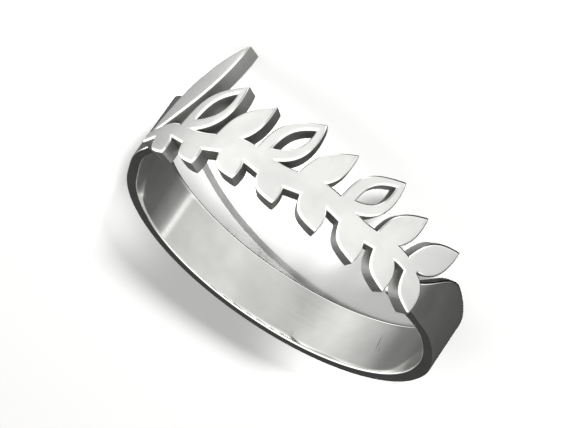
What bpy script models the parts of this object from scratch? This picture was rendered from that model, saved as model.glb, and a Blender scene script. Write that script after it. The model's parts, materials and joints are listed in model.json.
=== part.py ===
"""A finger ring: a flat band whose two shoulders carry a pierced front panel, bent round the finger.

The panel is a leafy branch cut through the metal, with one tall leaf that stands past the band's far rim.
Band and panel are soldered, so they are one solid. The ring lies on its far side, as it would by itself:
on the tip of the tall leaf and on the band's far rim opposite the tip.

Ring frame, used until the ring is laid down: X runs along the branch, Y along the finger from the near rim
to the far rim, and Z out through the middle of the panel. An angle round the ring is 0 at +Z and grows
towards +X. Flat drawings of the panel use the arc length on its face and the height along the finger.
"""

import math

import bmesh
import bpy
from mathutils import Matrix, Vector

MM = 0.001

# Band, in millimetres, and angles round the ring in degrees. It runs from its right end, over the back
# at 180, to its left end, and both ends lie under the panel.
FINGER_RADIUS = 8.65
BAND_WIDTH = 3.15
BAND_THICKNESS = 0.72
EDGE_CHAMFER = 0.10
RIGHT_END = 42.0
LEFT_END = 320.0
END_ROUNDING = 0.35
END_STATIONS = 4

# Shoulders: each change of the band's edges or radii runs from its start angle to its full angle. Both
# shoulders are a little thinner than the back, and their ends swell outwards into the panel. The left one,
# which carries the tall leaf, widens towards the far side. Both ends are cut back on a slant, so that they
# stay under the leaves.
RIGHT_FLARE = {"start": 76.0, "full": 46.0, "near": -0.40, "far": 0.20}
RIGHT_CUT = {"start": 70.0, "full": 42.0, "near": 0.0, "far": -2.70}
LEFT_FLARE = {"start": 250.0, "full": 278.0, "near": 0.0, "far": 1.20}
LEFT_SLANT = {"start": 276.0, "full": 306.0, "near": 0.0, "far": -0.90}
LEFT_CUT = {"start": 298.0, "full": 320.0, "near": 2.20, "far": -0.30}
RIGHT_THINNING = {"start": 104.0, "full": 80.0, "outer": -0.13, "inner": 0.0}
RIGHT_SWELL = {"start": 64.0, "full": 46.0, "outer": 0.27, "inner": 0.0}
LEFT_THINNING = {"start": 205.0, "full": 250.0, "outer": -0.12, "inner": 0.0}
LEFT_SWELL = {"start": 274.0, "full": 300.0, "outer": 0.40, "inner": 0.50}

# Panel, in millimetres
FACE_RADIUS = 10.2
PANEL_THICKNESS = 0.88
OUTLINE_STATIONS = 10

# Facets round the ring, in degrees, and how close to a facet's border a corner counts as on it
FACET_ANGLE = 5.0
FACET_SLACK = 1e-5

# Mesh limits: in the finished solid points closer than MERGE_DISTANCE millimetres are merged, and while it is
# worked CLOSE is the same point. Faces within FLAT_WITHIN degrees are one flat, a fold over SHARP_FOLD is a
# rim to chamfer, and one over SHADING_FOLD is drawn sharp.
MERGE_DISTANCE = 0.002
CLOSE = 0.0001
FLAT_WITHIN = 0.5
SHARP_FOLD = 60.0
SHADING_FOLD = 25.0

# Branch that the leaves grow from: a wave along the arc, bent down at its cut end. It thins out at both
# ends as a half wave that starts and ends STEM_TIP of the way in, raised to STEM_FULLNESS.
STEM_START = -10.15
STEM_END = 7.6
STEM_WIDTH = 1.15
STEM_HEIGHT = 0.72
STEM_WAVE = 0.17
STEM_WAVELENGTH = 5.0
STEM_DROOP = 0.45
STEM_DROOP_ARC = 1.9
STEM_STATIONS = 36
STEM_TIP = 0.06
STEM_FULLNESS = 0.4
SLOPE_STEP = 0.1

# Leaves: where each grows on the stem, its heading, how far it bends on the way, its size, the share of its
# length where it is widest, its fullness (1 for a pointed lens, less for a rounder tip), and the width of
# the slot cut through it (0 for a solid leaf)
LEAF_COLUMNS = ("at", "heading", "curl", "length", "width", "belly", "fullness", "slot")
LEAVES = (
    (-7.95, 53, 20, 4.30, 2.05, 0.50, 0.92, 0.85),
    (-5.45, 55, 16, 3.80, 1.50, 0.50, 0.92, 0.00),
    (-3.00, 53, 20, 4.10, 2.05, 0.50, 0.92, 0.85),
    (-0.50, 55, 16, 3.70, 1.50, 0.50, 0.92, 0.00),
    (1.95, 53, 20, 4.00, 2.05, 0.50, 0.92, 0.85),
    (4.45, 55, 16, 3.45, 1.50, 0.50, 0.92, 0.00),
    (6.55, 44, 22, 3.80, 1.70, 0.50, 0.92, 0.00),
    (-9.30, -40, -24, 1.90, 1.30, 0.50, 0.85, 0.00),
    (-7.05, -45, -24, 2.05, 1.40, 0.50, 0.85, 0.00),
    (-4.65, -45, -24, 2.20, 1.45, 0.50, 0.85, 0.00),
    (-2.25, -45, -24, 2.30, 1.45, 0.50, 0.85, 0.00),
    (0.15, -45, -24, 2.50, 1.50, 0.50, 0.85, 0.00),
    (2.50, -45, -24, 2.60, 1.50, 0.50, 0.85, 0.00),
    (4.75, -45, -24, 2.55, 1.50, 0.50, 0.85, 0.00),
    (6.85, -45, -24, 2.50, 1.50, 0.50, 0.85, 0.00),
)
SLOT_START = 0.28
SLOT_END = 0.84

# Tall leaf at the left end
TALL_LEAF_FOOT = (-9.95, 0.35)
TALL_LEAF = {"heading": 64, "curl": -2, "length": 6.85, "width": 1.42, "belly": 0.52, "fullness": 0.80}

# Rest: the far rim touches the surface in the middle of the facet that lies opposite the tall leaf's tip
REST_ANGLE = 142.5

SILVER_COLOUR = (0.79, 0.80, 0.78, 1.0)
SILVER_ROUGHNESS = 0.16


def smooth(share):
    """0 below 0, 1 above 1, and an even curve between."""
    share = min(max(share, 0.0), 1.0)
    return share * share * (3.0 - 2.0 * share)


def leaf_outline(foot, heading, curl, length, width, belly, fullness, start=0.0, end=1.0):
    """Outline of a leaf whose midline bends by curl degrees, or of a slot that runs inside it."""
    left, right = [], []
    for station in range(OUTLINE_STATIONS + 1):
        inside = (1 - math.cos(math.pi * station / OUTLINE_STATIONS)) / 2
        along = start + (end - start) * inside
        turn = math.radians(heading + curl * (along - 0.5))
        chord = math.radians(heading + curl * (along - 1.0) / 2)
        x = foot[0] + length * along * math.cos(chord)
        y = foot[1] + length * along * math.sin(chord)
        bulge = math.sin(math.pi * inside ** (math.log(0.5) / math.log(belly)))
        half = width / 2 * max(bulge, 0.0) ** fullness
        left.append((x - half * math.sin(turn), y + half * math.cos(turn)))
        right.append((x + half * math.sin(turn), y - half * math.cos(turn)))
    return right + left[-2:0:-1]


def stem_height(x):
    droop = STEM_DROOP * (1 - smooth((x - STEM_START) / STEM_DROOP_ARC))
    return STEM_HEIGHT + STEM_WAVE * math.sin(2 * math.pi * x / STEM_WAVELENGTH) - droop


def stem_outline():
    """The wave as a strip that thins out at both ends."""
    left, right = [], []
    for station in range(STEM_STATIONS + 1):
        share = station / STEM_STATIONS
        x = STEM_START + (STEM_END - STEM_START) * share
        slope = math.atan2(stem_height(x + SLOPE_STEP) - stem_height(x - SLOPE_STEP), 2 * SLOPE_STEP)
        along = STEM_TIP + (1 - 2 * STEM_TIP) * share
        half = STEM_WIDTH / 2 * math.sin(math.pi * along) ** STEM_FULLNESS
        left.append((x - half * math.sin(slope), stem_height(x) + half * math.cos(slope)))
        right.append((x + half * math.sin(slope), stem_height(x) - half * math.cos(slope)))
    return right + left[::-1]


def change_at(angle, change, side):
    """How much one named change of the band, such as its flare, adds at an angle."""
    return change[side] * smooth((angle - change["start"]) / (change["full"] - change["start"]))


def band_edges(angle):
    """Heights of the near and far edges, drawn in at the rounded ends."""
    changes = (RIGHT_FLARE, RIGHT_CUT, LEFT_FLARE, LEFT_SLANT, LEFT_CUT)
    near = sum(change_at(angle, change, "near") for change in changes)
    far = BAND_WIDTH + sum(change_at(angle, change, "far") for change in changes)
    to_end = math.radians(min(angle - RIGHT_END, LEFT_END - angle)) * FINGER_RADIUS
    left_over = max(1 - to_end / END_ROUNDING, 0.0)
    drawn_in = END_ROUNDING * (1 - math.sqrt(max(1 - left_over ** 2, 0.0)))
    return near + drawn_in, far - drawn_in


def band_radius(angle, share):
    """Radius at a share of the thickness, 0 on the finger's side and 1 outside."""
    changes = (RIGHT_THINNING, RIGHT_SWELL, LEFT_THINNING, LEFT_SWELL)
    inner = FINGER_RADIUS + sum(change_at(angle, change, "inner") for change in changes)
    outer = FINGER_RADIUS + BAND_THICKNESS + sum(change_at(angle, change, "outer") for change in changes)
    return inner + (outer - inner) * share


def band_stations():
    """Angles at which the band has a row of corners: each facet's border, and more in the rounded ends."""
    first = math.floor(RIGHT_END / FACET_ANGLE) + 1
    last = math.ceil(LEFT_END / FACET_ANGLE) - 1
    rounding = math.degrees(END_ROUNDING / FINGER_RADIUS)
    steps = [rounding * (1 - math.cos(math.pi / 2 * n / END_STATIONS)) for n in range(END_STATIONS)]
    inner = [step * FACET_ANGLE for step in range(first, last + 1)]
    inner = [angle for angle in inner if RIGHT_END + rounding < angle < LEFT_END - rounding]
    return [RIGHT_END + step for step in steps] + inner + [LEFT_END - step for step in reversed(steps)]


def extruded_outline(name, outline, collection):
    """A closed flat piece with the panel's thickness, drawn in the X and Y plane."""
    curve = bpy.data.curves.new(name, "CURVE")
    curve.dimensions = "2D"
    curve.fill_mode = "BOTH"
    curve.extrude = PANEL_THICKNESS * MM / 2
    spline = curve.splines.new("POLY")
    spline.points.add(len(outline) - 1)
    spline.use_cyclic_u = True
    for point, (x, y) in zip(spline.points, outline):
        point.co = (x * MM, y * MM, 0, 1)
    drawn = bpy.data.objects.new(name, curve)
    collection.objects.link(drawn)
    bpy.context.view_layer.update()
    graph = bpy.context.evaluated_depsgraph_get()
    mesh = bpy.data.meshes.new_from_object(drawn.evaluated_get(graph))
    bpy.data.objects.remove(drawn)
    flat = bmesh.new()
    flat.from_mesh(mesh)
    bmesh.ops.remove_doubles(flat, verts=flat.verts, dist=CLOSE * MM)
    bmesh.ops.recalc_face_normals(flat, faces=flat.faces)
    flat.to_mesh(mesh)
    flat.free()
    piece = bpy.data.objects.new(name, mesh)
    collection.objects.link(piece)
    return piece


def hidden_collection(name):
    collection = bpy.data.collections.new(name)
    collection.hide_render = True
    bpy.context.scene.collection.children.link(collection)
    return collection


def apply_boolean(target, operation, collection):
    """Runs one exact Boolean of the target with all of a collection, and returns the new mesh."""
    boolean = target.modifiers.new("boolean", "BOOLEAN")
    boolean.operation = operation
    boolean.solver = "EXACT"
    boolean.operand_type = "COLLECTION"
    boolean.collection = collection
    boolean.use_self = operation == "UNION"
    bpy.context.view_layer.update()
    graph = bpy.context.evaluated_depsgraph_get()
    mesh = bpy.data.meshes.new_from_object(target.evaluated_get(graph))
    target.modifiers.remove(boolean)
    target.data = mesh


def flat_panel(work):
    """The branch as one flat pierced plate, with its back at height 0."""
    joined = hidden_collection("panel_joined")
    slots = hidden_collection("panel_slots")
    panel = extruded_outline("panel", stem_outline(), work)
    extruded_outline("tall_leaf", leaf_outline(TALL_LEAF_FOOT, **TALL_LEAF), joined)
    for number, row in enumerate(LEAVES):
        leaf = dict(zip(LEAF_COLUMNS, row))
        foot = (leaf["at"], stem_height(leaf.pop("at")))
        slot_width = leaf.pop("slot")
        extruded_outline("leaf_" + str(number), leaf_outline(foot, **leaf), joined)
        if slot_width:
            leaf["width"] = slot_width
            outline = leaf_outline(foot, **leaf, start=SLOT_START, end=SLOT_END)
            slot = extruded_outline("slot_" + str(number), outline, slots)
            slot.data.transform(Matrix.Diagonal((1, 1, 2, 1)))
            slot.display_type = "WIRE"
    apply_boolean(panel, "UNION", joined)
    apply_boolean(panel, "DIFFERENCE", slots)
    panel.data.transform(Matrix.Translation((0, 0, PANEL_THICKNESS * MM / 2)))
    return panel


def bend(mesh, radius_at):
    """Bends a flat mesh round the finger in facets. X is the angle in degrees times MM, and Z the share of
    the thickness times MM. radius_at gives the radius for an angle and that share."""
    for vertex in mesh.vertices:
        angle = vertex.co.x / MM
        share = vertex.co.z / MM
        lower = math.floor(angle / FACET_ANGLE + FACET_SLACK)
        part = angle / FACET_ANGLE - lower
        corners = []
        for step in (lower, lower + 1):
            turn = math.radians(step * FACET_ANGLE)
            radius = radius_at(step * FACET_ANGLE, share)
            corners.append(Vector((radius * math.sin(turn), 0, radius * math.cos(turn))))
        place = corners[0].lerp(corners[1], part) * MM
        vertex.co = (place.x, vertex.co.y, place.z)


def split_at_facets(mesh, first, last):
    """Cuts a flat mesh whose X is an angle at each facet's border, and makes all faces triangles."""
    flat = bmesh.new()
    flat.from_mesh(mesh)
    bmesh.ops.dissolve_limit(flat, angle_limit=math.radians(FLAT_WITHIN), verts=flat.verts, edges=flat.edges)
    for step in range(math.ceil(first / FACET_ANGLE), math.floor(last / FACET_ANGLE) + 1):
        everything = flat.verts[:] + flat.edges[:] + flat.faces[:]
        border = step * FACET_ANGLE * MM
        bmesh.ops.bisect_plane(
            flat, geom=everything, dist=CLOSE * MM, plane_co=(border, 0, 0), plane_no=(1, 0, 0),
        )
    bmesh.ops.triangulate(flat, faces=flat.faces)
    flat.to_mesh(mesh)
    flat.free()


def bent_panel(work):
    panel = flat_panel(work)
    to_angle = Matrix.Diagonal((math.degrees(1 / FACE_RADIUS), 1, 1 / PANEL_THICKNESS, 1))
    panel.data.transform(to_angle)
    reach = math.degrees(-TALL_LEAF_FOOT[0] / FACE_RADIUS) + 2 * FACET_ANGLE
    split_at_facets(panel.data, -reach, reach)
    bend(panel.data, lambda angle, share: FACE_RADIUS - PANEL_THICKNESS * (1 - share))
    return panel


def bent_band(work):
    """A strip with a row of corners at each station, made thick, chamfered while flat, and bent."""
    stations = band_stations()
    strip = bmesh.new()
    bmesh.ops.create_grid(strip, x_segments=len(stations) - 1, y_segments=1, size=0.5)
    for vertex in strip.verts:
        angle = stations[round((vertex.co.x + 0.5) * (len(stations) - 1))]
        near, far = band_edges(angle)
        height = near if vertex.co.y < 0 else far
        vertex.co = (math.radians(angle) * FINGER_RADIUS * MM, height * MM, 0)
    thick = bmesh.ops.extrude_face_region(strip, geom=strip.faces[:])
    top = [item for item in thick["geom"] if isinstance(item, bmesh.types.BMVert)]
    bmesh.ops.translate(strip, verts=top, vec=(0, 0, BAND_THICKNESS * MM))
    bmesh.ops.recalc_face_normals(strip, faces=strip.faces)
    rims = [edge for edge in strip.edges if edge.calc_face_angle() > math.radians(SHARP_FOLD)]
    rims = [edge for edge in rims if abs(edge.verts[0].co.z - edge.verts[1].co.z) < EDGE_CHAMFER * MM]
    bmesh.ops.bevel(strip, geom=rims, offset=EDGE_CHAMFER * MM, affect="EDGES", segments=1, profile=0.5)
    bmesh.ops.triangulate(strip, faces=strip.faces)
    mesh = bpy.data.meshes.new("band")
    strip.to_mesh(mesh)
    strip.free()
    band = bpy.data.objects.new("band", mesh)
    work.objects.link(band)
    mesh.transform(Matrix.Diagonal((math.degrees(1 / FINGER_RADIUS), 1, 1 / BAND_THICKNESS, 1)))
    bend(mesh, band_radius)
    return band


def rest_matrix(mesh):
    """Lays the ring on its far side, with the panel towards -Y, the lowest point at height 0 and its
    bounding box centred. It tips about the rim's facet until something, the tall leaf's tip, touches."""
    turn = math.radians(REST_ANGLE)
    across = Vector((-math.sin(turn), 0, -math.cos(turn)))
    rim = (FINGER_RADIUS + BAND_THICKNESS - EDGE_CHAMFER) * math.cos(math.radians(FACET_ANGLE / 2))
    tilt = 0.0
    for vertex in mesh.vertices:
        reach = rim + across.dot(vertex.co) / MM
        if reach > rim:
            tilt = max(tilt, math.atan2(vertex.co.y / MM - BAND_WIDTH, reach))
    on_far_side = Matrix(((-1, 0, 0), (0, 0, -1), (0, -1, 0))).to_4x4()
    lean = Matrix.Rotation(tilt, 4, (on_far_side @ across).cross(Vector((0, 0, 1))))
    rotation = lean @ on_far_side
    corners = [rotation @ vertex.co for vertex in mesh.vertices]
    low = [min(corner[axis] for corner in corners) for axis in range(3)]
    high = [max(corner[axis] for corner in corners) for axis in range(3)]
    to_origin = Matrix.Translation((-(low[0] + high[0]) / 2, -(low[1] + high[1]) / 2, -low[2]))
    return to_origin @ rotation


def polished_silver():
    material = bpy.data.materials.new("polished_silver")
    material.use_nodes = True
    shader = material.node_tree.nodes["Principled BSDF"]
    shader.inputs["Base Color"].default_value = SILVER_COLOUR
    shader.inputs["Metallic"].default_value = 1.0
    shader.inputs["Roughness"].default_value = SILVER_ROUGHNESS
    material.diffuse_color = SILVER_COLOUR
    return material


def tidy_solid(mesh):
    """Merges the points that the joins left closer than the metal shows."""
    solid = bmesh.new()
    solid.from_mesh(mesh)
    bmesh.ops.remove_doubles(solid, verts=solid.verts, dist=MERGE_DISTANCE * MM)
    bmesh.ops.dissolve_degenerate(solid, edges=solid.edges, dist=MERGE_DISTANCE * MM)
    bmesh.ops.triangulate(solid, faces=solid.faces)
    solid.to_mesh(mesh)
    solid.free()


def build_ring():
    for thing in list(bpy.data.objects):
        bpy.data.objects.remove(thing)
    parts = bpy.data.collections.new("ring")
    bpy.context.scene.collection.children.link(parts)
    work = hidden_collection("ring_work")
    soldered = hidden_collection("ring_soldered")

    ring = bent_band(parts)
    ring.name = "ring"
    panel = bent_panel(work)
    soldered.objects.link(panel)
    apply_boolean(ring, "UNION", soldered)
    hidden = (work, soldered, bpy.data.collections["panel_joined"], bpy.data.collections["panel_slots"])
    for collection in hidden:
        for helper in collection.objects:
            helper.hide_render = True
            helper.display_type = "WIRE"
    tidy_solid(ring.data)
    ring.data.materials.clear()
    ring.data.materials.append(polished_silver())
    ring.data.shade_smooth()
    ring.data.set_sharp_from_angle(angle=math.radians(SHADING_FOLD))

    rest = bpy.data.objects.new("ring_rest", None)
    rest.empty_display_size = FINGER_RADIUS * MM
    parts.objects.link(rest)
    rest.matrix_world = rest_matrix(ring.data)
    ring.parent = rest


build_ring()
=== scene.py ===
"""A silver finger ring whose front is a leafy branch cut through the metal, on a pale floor in soft light.

The ring lies on its far side, on the tip of its tall leaf and on the band's far rim. It is drawn in the
ring frame: X runs along the branch, Y along the finger from the near rim to the far rim, and Z out through
the middle of the panel. An angle round the ring is 0 at +Z and grows towards +X. Flat drawings of the panel
use the arc length on its face and the height along the finger, in millimetres.
"""

import json
import math

import bmesh
import bpy
from mathutils import Matrix, Vector


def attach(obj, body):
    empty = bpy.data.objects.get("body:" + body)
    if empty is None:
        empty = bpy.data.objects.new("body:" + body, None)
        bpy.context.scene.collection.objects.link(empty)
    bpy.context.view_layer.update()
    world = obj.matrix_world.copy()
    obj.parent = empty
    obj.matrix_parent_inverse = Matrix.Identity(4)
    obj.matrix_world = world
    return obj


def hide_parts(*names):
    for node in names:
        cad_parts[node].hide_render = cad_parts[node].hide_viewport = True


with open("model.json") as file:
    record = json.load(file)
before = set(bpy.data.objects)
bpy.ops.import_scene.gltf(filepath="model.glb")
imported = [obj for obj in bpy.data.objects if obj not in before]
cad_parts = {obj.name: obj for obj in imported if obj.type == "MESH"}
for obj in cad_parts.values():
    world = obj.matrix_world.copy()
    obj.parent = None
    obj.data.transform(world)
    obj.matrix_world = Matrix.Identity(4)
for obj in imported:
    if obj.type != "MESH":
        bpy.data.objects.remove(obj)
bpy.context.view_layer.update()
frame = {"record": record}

MM = 0.001

# Band, in millimetres, and angles round the ring in degrees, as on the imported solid
FINGER_RADIUS = 8.65
BAND_WIDTH = 3.15
BAND_THICKNESS = 0.71
RIGHT_END = 42.0
LEFT_END = 320.0
END_ROUNDING = 0.35
RIGHT_FLARE = {"start": 76.0, "full": 46.0, "near": -0.40, "far": 0.20}
RIGHT_CUT = {"start": 70.0, "full": 42.0, "near": 0.0, "far": -2.70}
LEFT_FLARE = {"start": 250.0, "full": 278.0, "near": 0.0, "far": 1.20}
LEFT_SLANT = {"start": 276.0, "full": 306.0, "near": 0.0, "far": -0.90}
LEFT_CUT = {"start": 298.0, "full": 320.0, "near": 2.20, "far": -0.30}
RIGHT_THINNING = {"start": 104.0, "full": 80.0, "outer": -0.13, "inner": 0.0}
RIGHT_SWELL = {"start": 64.0, "full": 46.0, "outer": 0.27, "inner": 0.0}
LEFT_THINNING = {"start": 205.0, "full": 250.0, "outer": -0.12, "inner": 0.0}
LEFT_SWELL = {"start": 274.0, "full": 300.0, "outer": 0.40, "inner": 0.50}
BAND_EDGE_RADIUS = 0.10
BAND_EDGE_SEGMENTS = 4
BAND_STEP = 1.25
BAND_ROWS = 10
BAND_END_ROWS = 8
# Edges that turn by more than this, in degrees, are the band's rims
RIM_ANGLE = 60.0

# Panel
FACE_RADIUS = 10.2
PANEL_THICKNESS = 0.88
FACE_EDGE_WIDTH = 0.15
FACE_EDGE_DROP = 0.11
FACE_EDGE_RINGS = 4
FLAT_RING = 0.05
PANEL_STEP = 1.25
OUTLINE_STATIONS = 20
# How far a face's normal has to point outwards for the whole front, then for the flat face once its edges are
# rounded, and how little for an upright wall
FRONT_SLOPE = 0.9
FACE_SLOPE = 0.95
WALL_SLOPE = 0.3
# Points closer than this are merged, and edges that turn by less, in degrees, are dissolved. A point this near
# to a cut, in metres, lies on it.
MERGE_DISTANCE = 0.012
FLAT_WITHIN = 0.5
ON_THE_CUT = 1e-8

# Both meshes are shaded smooth across edges that turn by less than this, in degrees
SMOOTH_WITHIN = 38.0

# Places of the satin face and of the sawn walls, whose darker grey is painted shade, in the panel's list of
# finishes
FACE_FINISH = 1
WALL_FINISH = 2

# Branch that the leaves grow from
STEM_START = -10.15
STEM_END = 7.6
STEM_WIDTH = 1.15
STEM_HEIGHT = 0.72
STEM_WAVE = 0.17
STEM_WAVELENGTH = 5.0
STEM_DROOP = 0.45
STEM_DROOP_ARC = 1.9
STEM_STATIONS = 90
# Its slope is taken over this much to each side. Its width follows a half wave to a power, less a share of the
# wave at each end.
STEM_SLOPE_REACH = 0.1
STEM_TAPER_START = 0.06
STEM_TAPER_POWER = 0.4

LEAF_COLUMNS = ("at", "heading", "curl", "length", "width", "belly", "fullness", "slot")
LEAVES = (
    (-7.95, 53, 20, 4.30, 2.05, 0.50, 0.92, 0.85),
    (-5.45, 55, 16, 3.80, 1.50, 0.50, 0.92, 0.00),
    (-3.00, 53, 20, 4.10, 2.05, 0.50, 0.92, 0.85),
    (-0.50, 55, 16, 3.70, 1.50, 0.50, 0.92, 0.00),
    (1.95, 53, 20, 4.00, 2.05, 0.50, 0.92, 0.85),
    (4.45, 55, 16, 3.45, 1.50, 0.50, 0.92, 0.00),
    (6.55, 44, 22, 3.80, 1.70, 0.50, 0.92, 0.00),
    (-9.30, -40, -24, 1.90, 1.30, 0.50, 0.85, 0.00),
    (-7.05, -45, -24, 2.05, 1.40, 0.50, 0.85, 0.00),
    (-4.65, -45, -24, 2.20, 1.45, 0.50, 0.85, 0.00),
    (-2.25, -45, -24, 2.30, 1.45, 0.50, 0.85, 0.00),
    (0.15, -45, -24, 2.50, 1.50, 0.50, 0.85, 0.00),
    (2.50, -45, -24, 2.60, 1.50, 0.50, 0.85, 0.00),
    (4.75, -45, -24, 2.55, 1.50, 0.50, 0.85, 0.00),
    (6.85, -45, -24, 2.50, 1.50, 0.50, 0.85, 0.00),
)
SLOT_START = 0.28
SLOT_END = 0.84
SLOT_OVERSHOOT = 1.0
TALL_LEAF_FOOT = (-9.95, 0.35)
TALL_LEAF = {"heading": 64, "curl": -2, "length": 6.85, "width": 1.42, "belly": 0.52, "fullness": 0.80}

# Point attribute with a vertex's place, in millimetres, before the silver was bent round the finger
FLAT_PLACE = "flat_place"

# Rest, and the point of the near rim at which the record's mount stands
REST_ANGLE = 142.5
MOUNT_RADIUS = 9.0

# Camera: its direction seen from the ring, its turn about its own axis, and what it looks at
CAMERA_AZIMUTH = 8.5
CAMERA_ELEVATION = 20.64
CAMERA_ROLL = 34.525
CAMERA_DISTANCE = 204.8
CAMERA_AIM = (-1.144, 2.385, 1.054)
CAMERA_LENS = 252.6
SENSOR_WIDTH = 36.0
CLIP_START = 0.01
CLIP_END = 10.0


def smooth(share):
    """0 below 0, 1 above 1, and an even curve between."""
    share = min(max(share, 0.0), 1.0)
    return share * share * (3.0 - 2.0 * share)


def link(name, mesh):
    piece = bpy.data.objects.new(name, mesh)
    bpy.context.scene.collection.objects.link(piece)
    return piece


def mesh_of(name, shape):
    mesh = bpy.data.meshes.new(name)
    shape.to_mesh(mesh)
    shape.free()
    return mesh


# Flat outlines of the branch

def leaf_outline(foot, heading, curl, length, width, belly, fullness, start=0.0, end=1.0):
    """Outline of a leaf whose midline bends by curl degrees, or of a slot that runs inside it."""
    left, right = [], []
    for station in range(OUTLINE_STATIONS + 1):
        inside = station / OUTLINE_STATIONS
        along = start + (end - start) * inside
        turn = math.radians(heading + curl * (along - 0.5))
        chord = math.radians(heading + curl * (along - 1.0) / 2)
        x = foot[0] + length * along * math.cos(chord)
        y = foot[1] + length * along * math.sin(chord)
        bulge = math.sin(math.pi * inside ** (math.log(0.5) / math.log(belly)))
        half = width / 2 * max(bulge, 0.0) ** fullness
        left.append((x - half * math.sin(turn), y + half * math.cos(turn)))
        right.append((x + half * math.sin(turn), y - half * math.cos(turn)))
    return right + left[-2:0:-1]


def stem_height(x):
    droop = STEM_DROOP * (1 - smooth((x - STEM_START) / STEM_DROOP_ARC))
    return STEM_HEIGHT + STEM_WAVE * math.sin(2 * math.pi * x / STEM_WAVELENGTH) - droop


def stem_outline():
    """The wave as a strip that thins out at both ends."""
    left, right = [], []
    for station in range(STEM_STATIONS + 1):
        share = station / STEM_STATIONS
        x = STEM_START + (STEM_END - STEM_START) * share
        rise = stem_height(x + STEM_SLOPE_REACH) - stem_height(x - STEM_SLOPE_REACH)
        slope = math.atan2(rise, 2 * STEM_SLOPE_REACH)
        along = STEM_TAPER_START + (1 - 2 * STEM_TAPER_START) * share
        half = STEM_WIDTH / 2 * math.sin(math.pi * along) ** STEM_TAPER_POWER
        left.append((x - half * math.sin(slope), stem_height(x) + half * math.cos(slope)))
        right.append((x + half * math.sin(slope), stem_height(x) - half * math.cos(slope)))
    return right + left[::-1]


def plate(name, outline, low, high):
    """A flat plate between two heights: a disc whose rim is moved onto the outline, then made thick."""
    shape = bmesh.new()
    bmesh.ops.create_circle(shape, cap_ends=True, segments=len(outline), radius=1)
    for vertex, (x, y) in zip(shape.verts, outline):
        vertex.co = (x * MM, y * MM, low * MM)
    bmesh.ops.recalc_face_normals(shape, faces=shape.faces)
    thick = bmesh.ops.extrude_face_region(shape, geom=shape.faces[:])
    top = [item for item in thick["geom"] if isinstance(item, bmesh.types.BMVert)]
    bmesh.ops.translate(shape, verts=top, vec=(0, 0, (high - low) * MM))
    bmesh.ops.recalc_face_normals(shape, faces=shape.faces)
    return link(name, mesh_of(name, shape))


def boolean(target, operation, others):
    """One exact Boolean of the target with all the others, which are then removed."""
    group = bpy.data.collections.new("joined")
    bpy.context.scene.collection.children.link(group)
    for other in others:
        bpy.context.scene.collection.objects.unlink(other)
        group.objects.link(other)
    modifier = target.modifiers.new("boolean", "BOOLEAN")
    modifier.operation = operation
    modifier.solver = "EXACT"
    modifier.operand_type = "COLLECTION"
    modifier.collection = group
    modifier.use_self = operation == "UNION"
    bpy.context.view_layer.update()
    graph = bpy.context.evaluated_depsgraph_get()
    mesh = bpy.data.meshes.new_from_object(target.evaluated_get(graph))
    target.modifiers.remove(modifier)
    target.data = mesh
    for other in others:
        bpy.data.objects.remove(other)
    bpy.data.collections.remove(group)


def flat_branch():
    """The branch as one flat pierced plate with its back at height 0 and upright walls."""
    high = PANEL_THICKNESS - FACE_EDGE_DROP
    stem = plate("branch", stem_outline(), 0.0, high)
    grown = [plate("tall_leaf", leaf_outline(TALL_LEAF_FOOT, **TALL_LEAF), 0.0, high)]
    slots = []
    for row in LEAVES:
        leaf = dict(zip(LEAF_COLUMNS, row))
        foot = (leaf["at"], stem_height(leaf.pop("at")))
        slot_width = leaf.pop("slot")
        grown.append(plate("leaf", leaf_outline(foot, **leaf), 0.0, high))
        if slot_width:
            leaf["width"] = slot_width
            outline = leaf_outline(foot, **leaf, start=SLOT_START, end=SLOT_END)
            slots.append(plate("slot", outline, -SLOT_OVERSHOOT, high + SLOT_OVERSHOOT))
    boolean(stem, "UNION", grown)
    boolean(stem, "DIFFERENCE", slots)
    return stem


def in_set_order(shape):
    """The same shape with its points and faces in a set order. A Boolean's own order changes from run to run,
    and what follows depends on it."""
    ordered = bmesh.new()
    places = sorted(tuple(vertex.co) for vertex in shape.verts)
    points = {place: ordered.verts.new(place) for place in places}
    outlines = []
    for face in shape.faces:
        outline = [tuple(vertex.co) for vertex in face.verts]
        first = outline.index(min(outline))
        outlines.append(outline[first:] + outline[:first])
    for outline in sorted(outlines):
        ordered.faces.new([points[place] for place in outline])
    ordered.normal_update()
    shape.free()
    return ordered


def rounded_faces(shape):
    """Turns the upright plate's front edges into a soft round, by rings set in from the outline."""
    front = [face for face in shape.faces if face.normal.z > FRONT_SLOPE]
    for ring in range(1, FACE_EDGE_RINGS + 1):
        before = math.radians(90 * (ring - 1) / FACE_EDGE_RINGS)
        after = math.radians(90 * ring / FACE_EDGE_RINGS)
        inward = FACE_EDGE_WIDTH * (math.cos(before) - math.cos(after))
        upward = FACE_EDGE_DROP * (math.sin(after) - math.sin(before))
        bmesh.ops.inset_region(shape, faces=front, thickness=inward * MM, use_even_offset=True)
        raised = {vertex for face in front for vertex in face.verts}
        bmesh.ops.translate(shape, verts=list(raised), vec=(0, 0, upward * MM))
    bmesh.ops.inset_region(shape, faces=front, thickness=FLAT_RING * MM, use_even_offset=True)


def bend(shape, inner_radius):
    """Bends a flat shape round the finger. X is the arc length on the panel's face."""
    flat = shape.verts.layers.float_vector.new(FLAT_PLACE)
    for vertex in shape.verts:
        vertex[flat] = vertex.co / MM
        angle = vertex.co.x / (FACE_RADIUS * MM)
        radius = inner_radius * MM + vertex.co.z
        vertex.co = (radius * math.sin(angle), vertex.co.y, radius * math.cos(angle))


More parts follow.
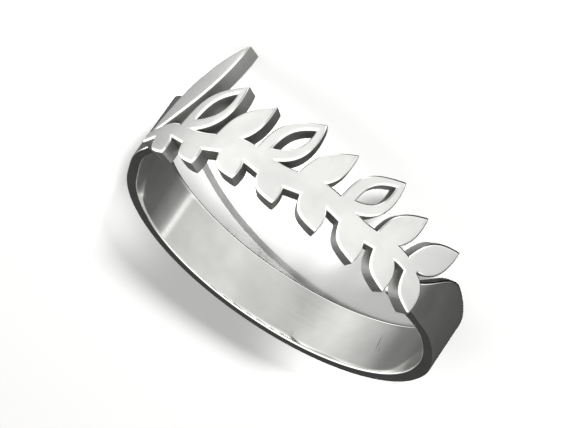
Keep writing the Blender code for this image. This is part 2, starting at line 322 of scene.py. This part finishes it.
def build_panel(to_rest):
    branch = flat_branch()
    shape = bmesh.new()
    shape.from_mesh(branch.data)
    bpy.data.objects.remove(branch)
    flat_angle = math.radians(FLAT_WITHIN)
    bmesh.ops.dissolve_limit(shape, angle_limit=flat_angle, verts=shape.verts, edges=shape.edges)
    shape = in_set_order(shape)
    bmesh.ops.remove_doubles(shape, verts=shape.verts, dist=MERGE_DISTANCE * MM)
    rounded_faces(shape)
    for face in shape.faces:
        if face.normal.z > FACE_SLOPE:
            face.material_index = FACE_FINISH
        elif abs(face.normal.z) < WALL_SLOPE:
            face.material_index = WALL_FINISH
    step = math.radians(PANEL_STEP) * FACE_RADIUS
    for number in range(math.ceil(STEM_START / step) - 1, math.floor(-STEM_START / step) + 1):
        everything = shape.verts[:] + shape.edges[:] + shape.faces[:]
        cut = (number * step * MM, 0, 0)
        bmesh.ops.bisect_plane(shape, geom=everything, dist=ON_THE_CUT, plane_co=cut, plane_no=(1, 0, 0))
    bend(shape, FACE_RADIUS - PANEL_THICKNESS)
    bmesh.ops.triangulate(shape, faces=[face for face in shape.faces if len(face.verts) > 4])
    bmesh.ops.transform(shape, matrix=to_rest, verts=shape.verts)
    bmesh.ops.recalc_face_normals(shape, faces=shape.faces)
    panel = link("leaf_panel", mesh_of("leaf_panel", shape))
    panel.data.shade_smooth()
    panel.data.set_sharp_from_angle(angle=math.radians(SMOOTH_WITHIN))
    return panel


# Band

def change_at(angle, change, side):
    """How much one named change of the band, such as its flare, adds at an angle."""
    return change[side] * smooth((angle - change["start"]) / (change["full"] - change["start"]))


def band_edges(angle):
    """Heights of the near and far edges, drawn in at the rounded ends."""
    changes = (RIGHT_FLARE, RIGHT_CUT, LEFT_FLARE, LEFT_SLANT, LEFT_CUT)
    near = sum(change_at(angle, change, "near") for change in changes)
    far = BAND_WIDTH + sum(change_at(angle, change, "far") for change in changes)
    to_end = math.radians(min(angle - RIGHT_END, LEFT_END - angle)) * FINGER_RADIUS
    left_over = max(1 - to_end / END_ROUNDING, 0.0)
    drawn_in = END_ROUNDING * (1 - math.sqrt(max(1 - left_over ** 2, 0.0)))
    return near + drawn_in, far - drawn_in


def band_radius(angle, share):
    """Radius at a share of the thickness, 0 on the finger's side and 1 outside."""
    changes = (RIGHT_THINNING, RIGHT_SWELL, LEFT_THINNING, LEFT_SWELL)
    inner = FINGER_RADIUS + sum(change_at(angle, change, "inner") for change in changes)
    outer = FINGER_RADIUS + BAND_THICKNESS + sum(change_at(angle, change, "outer") for change in changes)
    return inner + (outer - inner) * share


def band_stations():
    """Angles of the band's rows: an even run, and a finer one in the rounded ends."""
    rounding = math.degrees(END_ROUNDING / FINGER_RADIUS)
    steps = [rounding * (1 - math.cos(math.pi / 2 * n / BAND_END_ROWS)) for n in range(BAND_END_ROWS)]
    first, last = RIGHT_END + rounding, LEFT_END - rounding
    count = round((last - first) / BAND_STEP)
    inner = [first + (last - first) * n / count for n in range(count + 1)]
    return [RIGHT_END + step for step in steps] + inner + [LEFT_END - step for step in reversed(steps)]


def build_band(to_rest):
    stations = band_stations()
    shape = bmesh.new()
    bmesh.ops.create_grid(shape, x_segments=len(stations) - 1, y_segments=BAND_ROWS, size=0.5)
    for vertex in shape.verts:
        angle = stations[round((vertex.co.x + 0.5) * (len(stations) - 1))]
        near, far = band_edges(angle)
        height = near + (far - near) * (vertex.co.y + 0.5)
        vertex.co = (math.radians(angle) * FINGER_RADIUS * MM, height * MM, 0)
    thick = bmesh.ops.extrude_face_region(shape, geom=shape.faces[:])
    top = [item for item in thick["geom"] if isinstance(item, bmesh.types.BMVert)]
    bmesh.ops.translate(shape, verts=top, vec=(0, 0, BAND_THICKNESS * MM))
    bmesh.ops.recalc_face_normals(shape, faces=shape.faces)
    rims = [edge for edge in shape.edges if edge.calc_face_angle() > math.radians(RIM_ANGLE)]
    rims = [edge for edge in rims if abs(edge.verts[0].co.z - edge.verts[1].co.z) < BAND_EDGE_RADIUS * MM]
    bmesh.ops.bevel(
        shape, geom=rims, offset=BAND_EDGE_RADIUS * MM, affect="EDGES",
        segments=BAND_EDGE_SEGMENTS, profile=0.5, material=-1,
    )
    flat = shape.verts.layers.float_vector.new(FLAT_PLACE)
    for vertex in shape.verts:
        vertex[flat] = vertex.co / MM
        angle = vertex.co.x / (FINGER_RADIUS * MM)
        radius = band_radius(math.degrees(angle), vertex.co.z / (BAND_THICKNESS * MM)) * MM
        vertex.co = (radius * math.sin(angle), vertex.co.y, radius * math.cos(angle))
    bmesh.ops.transform(shape, matrix=to_rest, verts=shape.verts)
    bmesh.ops.recalc_face_normals(shape, faces=shape.faces)
    band = link("band", mesh_of("band", shape))
    band.data.shade_smooth()
    band.data.set_sharp_from_angle(angle=math.radians(SMOOTH_WITHIN))
    return band


# Placing

def rest_matrix():
    """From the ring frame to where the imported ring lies, read from the flat mount on its near rim."""
    mount = frame["record"]["mounts"][0]
    turn = math.radians(REST_ANGLE)
    across = Vector((-math.sin(turn), 0, -math.cos(turn)))
    on_far_side = Matrix(((-1, 0, 0), (0, 0, -1), (0, -1, 0))).to_4x4()
    tilt = math.acos(mount["axis"][2] / Vector(mount["axis"]).length)
    lean = Matrix.Rotation(tilt, 4, (on_far_side @ across).cross(Vector((0, 0, 1))))
    rotation = lean @ on_far_side
    mount_place = rotation @ Vector((0, 0, -MOUNT_RADIUS * MM))
    return Matrix.Translation(Vector(mount["pos_m"]) - mount_place) @ rotation


def aim_camera(to_rest):
    """The camera turns round a point of the ring: round the finger's axis, then up, then about its own axis."""
    azimuth = Matrix.Rotation(math.radians(CAMERA_AZIMUTH), 4, "Y")
    elevation = Matrix.Rotation(math.radians(CAMERA_ELEVATION), 4, "X")
    roll = Matrix.Rotation(math.radians(CAMERA_ROLL), 4, "Z")
    back = Matrix.Translation((0, 0, CAMERA_DISTANCE * MM))
    aim = Matrix.Translation(Vector(CAMERA_AIM) * MM)
    data = bpy.data.cameras.new("camera")
    data.lens = CAMERA_LENS
    data.sensor_width = SENSOR_WIDTH
    data.clip_start = CLIP_START
    data.clip_end = CLIP_END
    camera = bpy.data.objects.new("camera", data)
    bpy.context.scene.collection.objects.link(camera)
    camera.matrix_world = to_rest @ aim @ azimuth @ elevation @ roll @ back
    bpy.context.scene.camera = camera


# Floor and light

FLOOR_SIZE = 3.0
FLOOR_HEX = "A1A1A0"

# Tones of the studio, against the share of a full turn that starts at -X and goes by way of the front, -Y.
# WAIST is the low belt that the upright silver mirrors, and GLOW is seen above and below it.
WAIST = (
    (0.000, "FFFFFF"),
    (0.004, "FFFFFF"),
    (0.010, "D0D0D0"),
    (0.160, "E2E2E2"),
    (0.310, "BEBEBE"),
    (0.390, "E8E8E8"),
    (0.480, "B8B8B8"),
    (0.530, "808080"),
    (0.740, "484848"),
    (0.930, "646464"),
    (0.975, "909090"),
    (0.990, "B4B4B4"),
    (0.996, "FFFFFF"),
    (1.000, "FFFFFF"),
)
GLOW = (
    (0.000, "EEEEEE"),
    (0.400, "EEEEEE"),
    (0.500, "FFFFFF"),
    (0.590, "FFFFFF"),
    (0.670, "303030"),
    (0.920, "303030"),
    (1.000, "EEEEEE"),
)
# Height of a direction, from -1 straight down to 1 straight up, against the waist's share of it, and against
# how much of the glow is left, because the ring keeps the light off what lies right under it
WAIST_SPAN = ((-0.66, "000000"), (-0.50, "FFFFFF"), (-0.16, "FFFFFF"), (0.02, "000000"))
UNDER_SPAN = ((-0.86, "202020"), (-0.72, "FFFFFF"))
WAIST_STRENGTH = 1.1
GLOW_STRENGTH = 2.0

# Lamps, in metres and watts. The key softbox stands low in front of the panel, and the others look down along
# the finger hole: a big soft one, and snooted ones that lift the floor inside the ring and at the ends of its
# shadow.
KEY_PLACE = (-0.118, -0.535, 0.170)
KEY_SIZE = 0.045
KEY_POWER = 19.5
TOP_DISTANCE = 0.8
TOP_SIZE = 0.3
TOP_POWER = 0.8
SNOOT_DISTANCE = 0.6
SNOOT_RADIUS = 0.002
# Name, what it looks at, width of its cone in degrees, and power in watts
SNOOTS = (
    ("hole_snoot", (0.0045, 0.0025, 0.0), 1.6, 40.0),
    ("near_end_snoot", (-0.0065, 0.0175, 0.0), 1.6, 34.0),
    ("far_end_snoot", (0.0145, 0.0165, 0.0), 1.2, 22.0),
)


def linear(value):
    """An sRGB hex colour as linear red, green, blue and alpha."""
    parts = [int(value[n:n + 2], 16) / 255 for n in (0, 2, 4)]
    return [c / 12.92 if c <= 0.04045 else ((c + 0.055) / 1.055) ** 2.4 for c in parts] + [1.0]


def add_node(tree, kind, settings=None, **inputs):
    """Adds a node. An input takes a value or another node's output, and its name may hold _ for a space."""
    node = tree.nodes.new(kind)
    for name, value in (settings or {}).items():
        setattr(node, name, value)
    for name, value in inputs.items():
        socket = node.inputs[int(name[1:])] if name[1:].isdigit() else node.inputs[name.replace("_", " ")]
        if isinstance(value, bpy.types.NodeSocket):
            tree.links.new(value, socket)
        else:
            socket.default_value = value
    return node


def set_ramp(node, stops):
    """Gives a colour ramp its stops, each a place and an sRGB hex colour."""
    ramp = node.color_ramp
    while len(ramp.elements) < len(stops):
        ramp.elements.new(1.0)
    for element, (place, value) in zip(ramp.elements, stops):
        element.position = place
        element.color = linear(value)
    return node


def build_floor():
    """A floor of matt white paper, uncoated, so it has next to no shine. The silver doesn't mirror it."""
    shape = bmesh.new()
    bmesh.ops.create_grid(shape, x_segments=1, y_segments=1, size=FLOOR_SIZE / 2)
    floor = link("floor", mesh_of("floor", shape))
    material = bpy.data.materials.new("matt_white_paper")
    material.use_nodes = True
    surface = material.node_tree.nodes["Principled BSDF"]
    surface.inputs["Base Color"].default_value = linear(FLOOR_HEX)
    surface.inputs["Roughness"].default_value = 0.9
    surface.inputs["Specular IOR Level"].default_value = 0.1
    floor.data.materials.append(material)
    floor.visible_glossy = False
    floor.visible_shadow = False


def lamp(name, kind, place, aim, power):
    """A lamp that lights the floor only: the silver mirrors the painted studio instead."""
    light = bpy.data.lights.new(name, kind)
    light.energy = power
    stand = bpy.data.objects.new(name, light)
    stand.location = place
    stand.rotation_euler = (Vector(aim) - Vector(place)).to_track_quat("-Z", "Y").to_euler()
    stand.visible_glossy = False
    bpy.context.scene.collection.objects.link(stand)
    return light


def build_light():
    world = bpy.data.worlds.new("studio")
    bpy.context.scene.world = world
    world.use_nodes = True
    tree = world.node_tree
    tree.nodes.clear()
    direction = add_node(tree, "ShaderNodeTexCoord").outputs["Generated"]
    turn = add_node(tree, "ShaderNodeTexGradient", {"gradient_type": "RADIAL"}, Vector=direction)
    turn = turn.outputs["Fac"]
    height = add_node(tree, "ShaderNodeSeparateXYZ", Vector=direction).outputs["Z"]
    level = add_node(tree, "ShaderNodeMapRange", Value=height, From_Min=-1.0, From_Max=1.0).outputs["Result"]
    low = set_ramp(add_node(tree, "ShaderNodeValToRGB", Fac=turn), WAIST)
    high = set_ramp(add_node(tree, "ShaderNodeValToRGB", Fac=turn), GLOW)
    span = [((place + 1) / 2, value) for place, value in WAIST_SPAN]
    share = set_ramp(add_node(tree, "ShaderNodeValToRGB", Fac=level), span)
    span = [((place + 1) / 2, value) for place, value in UNDER_SPAN]
    under = set_ramp(add_node(tree, "ShaderNodeValToRGB", Fac=level), span)
    left = add_node(
        tree, "ShaderNodeMix", {"data_type": "RGBA", "blend_type": "MULTIPLY"},
        i0=1.0, i6=high.outputs["Color"], i7=under.outputs["Color"],
    ).outputs["Result"]
    waist = add_node(tree, "ShaderNodeBackground", Color=low.outputs["Color"], Strength=WAIST_STRENGTH)
    glow = add_node(tree, "ShaderNodeBackground", Color=left, Strength=GLOW_STRENGTH)
    both = add_node(
        tree, "ShaderNodeMixShader", i0=share.outputs["Color"],
        i1=glow.outputs["Background"], i2=waist.outputs["Background"],
    )
    add_node(tree, "ShaderNodeOutputWorld", Surface=both.outputs["Shader"])
    down_the_hole = Vector(frame["record"]["mounts"][0]["axis"])
    key = lamp("key_softbox", "AREA", KEY_PLACE, (0, 0, 0), KEY_POWER)
    key.shape, key.size = "DISK", KEY_SIZE
    top = lamp("top_softbox", "AREA", down_the_hole * TOP_DISTANCE, (0, 0, 0), TOP_POWER)
    top.shape, top.size = "DISK", TOP_SIZE
    for name, aim, width, power in SNOOTS:
        snoot = lamp(name, "SPOT", Vector(aim) + down_the_hole * SNOOT_DISTANCE, aim, power)
        snoot.spot_size, snoot.spot_blend = math.radians(width), 1.0
        snoot.shadow_soft_size = SNOOT_RADIUS
    bpy.context.scene.view_settings.view_transform = "Standard"


# Silver

# Worn scratches across the band's inside: arc length and height of the middle, heading in degrees, length and
# width in millimetres. A real one is about 0.03 mm wide, and these are drawn wider, so that they show.
SCRATCH_COLUMNS = ("along", "height", "heading", "length", "width")
SCRATCHES = (
    (20.90, 1.83, 79, 1.30, 0.09),
    (20.60, 1.45, 74, 0.50, 0.06),
)
SCRATCH_REACH = 0.3
SCRATCH_HEX = "5A5B59"
SCRATCH_ROUGHNESS = 0.25


def polished_silver():
    """Sterling silver, buffed round the band on a felt wheel: a near mirror with fine lines along the band,
    and a few scratches from wear."""
    material = bpy.data.materials.new("buffed_sterling_silver")
    material.use_nodes = True
    tree = material.node_tree
    surface = tree.nodes["Principled BSDF"]
    surface.inputs["Metallic"].default_value = 1.0
    flat = add_node(tree, "ShaderNodeAttribute", {"attribute_name": FLAT_PLACE}).outputs["Vector"]
    # Buffing lines are about 0.02 mm apart. They are drawn 0.12 mm wide, so that they show.
    lines = add_node(tree, "ShaderNodeMapping", Vector=flat, Scale=(0.25, 8.0, 8.0)).outputs["Vector"]
    line = add_node(tree, "ShaderNodeTexNoise", Vector=lines, Scale=1.0, Detail=3.0, Roughness=0.6)
    line = line.outputs["Fac"]
    cloud = add_node(tree, "ShaderNodeTexNoise", Vector=flat, Scale=0.45, Detail=2.0).outputs["Fac"]
    tone = set_ramp(add_node(tree, "ShaderNodeValToRGB", Fac=cloud), ((0.35, "E3E4E0"), (0.65, "F1F1EE")))
    rough = add_node(
        tree, "ShaderNodeMapRange", Value=line, From_Min=0.3, From_Max=0.7, To_Min=0.06, To_Max=0.13,
    )
    # Each scratch is a ball of a gradient, drawn out long and thin, whose middle lies on the finger's side
    scratch = 0.0
    for row in SCRATCHES:
        mark = dict(zip(SCRATCH_COLUMNS, row))
        ball = add_node(
            tree, "ShaderNodeMapping", {"vector_type": "TEXTURE"}, Vector=flat,
            Location=(mark["along"], mark["height"], 0.0), Rotation=(0.0, 0.0, math.radians(mark["heading"])),
            Scale=(mark["length"] / 2, mark["width"] / 2, SCRATCH_REACH),
        ).outputs["Vector"]
        ball = add_node(tree, "ShaderNodeTexGradient", {"gradient_type": "SPHERICAL"}, Vector=ball)
        both = add_node(tree, "ShaderNodeMath", {"operation": "MAXIMUM"}, i0=scratch, i1=ball.outputs["Fac"])
        scratch = both.outputs["Value"]
    worn = add_node(
        tree, "ShaderNodeMix", {"data_type": "RGBA"},
        i0=scratch, i6=tone.outputs["Color"], i7=linear(SCRATCH_HEX),
    )
    tree.links.new(worn.outputs["Result"], surface.inputs["Base Color"])
    rougher = add_node(
        tree, "ShaderNodeMath", {"operation": "MULTIPLY_ADD", "use_clamp": True},
        i0=scratch, i1=SCRATCH_ROUGHNESS, i2=rough.outputs["Result"],
    )
    tree.links.new(rougher.outputs["Value"], surface.inputs["Roughness"])
    bump = add_node(tree, "ShaderNodeBump", Height=line, Strength=0.3, Distance=0.000004)
    tree.links.new(bump.outputs["Normal"], surface.inputs["Normal"])
    return material


def satin_silver():
    """Sterling silver face, rubbed with fine paper and lightly buffed: white and soft, with a faint grain."""
    material = bpy.data.materials.new("satin_sterling_silver")
    material.use_nodes = True
    tree = material.node_tree
    surface = tree.nodes["Principled BSDF"]
    surface.inputs["Metallic"].default_value = 1.0
    flat = add_node(tree, "ShaderNodeAttribute", {"attribute_name": FLAT_PLACE}).outputs["Vector"]
    # The paper's grain is about 0.02 mm. It is drawn 0.14 mm wide, so that it shows.
    grain = add_node(tree, "ShaderNodeTexNoise", Vector=flat, Scale=7.0, Detail=4.0, Roughness=0.7)
    grain = grain.outputs["Fac"]
    cloud = add_node(tree, "ShaderNodeTexNoise", Vector=flat, Scale=0.6, Detail=2.0).outputs["Fac"]
    tone = set_ramp(add_node(tree, "ShaderNodeValToRGB", Fac=cloud), ((0.35, "E2E3E0"), (0.65, "EDEDEA")))
    tree.links.new(tone.outputs["Color"], surface.inputs["Base Color"])
    rough = add_node(
        tree, "ShaderNodeMapRange", Value=grain, From_Min=0.3, From_Max=0.7, To_Min=0.36, To_Max=0.46,
    )
    tree.links.new(rough.outputs["Result"], surface.inputs["Roughness"])
    bump = add_node(tree, "ShaderNodeBump", Height=grain, Strength=0.3, Distance=0.000006)
    tree.links.new(bump.outputs["Normal"], surface.inputs["Normal"])
    return material


def sawn_silver():
    """The panel's cut walls, left from the saw: dull, with lines across, and a grey darker than the silver's
    own colour, which is painted shade.
    """
    material = bpy.data.materials.new("sawn_sterling_silver")
    material.use_nodes = True
    tree = material.node_tree
    surface = tree.nodes["Principled BSDF"]
    surface.inputs["Metallic"].default_value = 1.0
    flat = add_node(tree, "ShaderNodeAttribute", {"attribute_name": FLAT_PLACE}).outputs["Vector"]
    # A fine saw leaves marks about 0.1 mm apart
    strokes = add_node(tree, "ShaderNodeMapping", Vector=flat, Scale=(9.0, 9.0, 0.6)).outputs["Vector"]
    stroke = add_node(tree, "ShaderNodeTexNoise", Vector=strokes, Scale=1.0, Detail=3.0).outputs["Fac"]
    # This grey tone is painted shade: it makes the walls darker than the silver's own colour
    tone = set_ramp(add_node(tree, "ShaderNodeValToRGB", Fac=stroke), ((0.35, "929390"), (0.65, "9A9B98")))
    tree.links.new(tone.outputs["Color"], surface.inputs["Base Color"])
    rough = add_node(
        tree, "ShaderNodeMapRange", Value=stroke, From_Min=0.3, From_Max=0.7, To_Min=0.48, To_Max=0.56,
    )
    tree.links.new(rough.outputs["Result"], surface.inputs["Roughness"])
    bump = add_node(tree, "ShaderNodeBump", Height=stroke, Strength=0.15, Distance=0.000010)
    tree.links.new(bump.outputs["Normal"], surface.inputs["Normal"])
    return material


TO_REST = rest_matrix()
aim_camera(TO_REST)
build_floor()
build_light()
# The walls' silver is greyed as painted shade; its saw lines and roughness are its finish
BUFFED, SATIN, SAWN = polished_silver(), satin_silver(), sawn_silver()
FINISHES = {"band": (BUFFED,), "leaf_panel": (BUFFED, SATIN, SAWN)}
for piece in (build_band(TO_REST), build_panel(TO_REST)):
    for finish in FINISHES[piece.name]:
        piece.data.materials.append(finish)
    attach(piece, "root")
    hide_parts("ring")
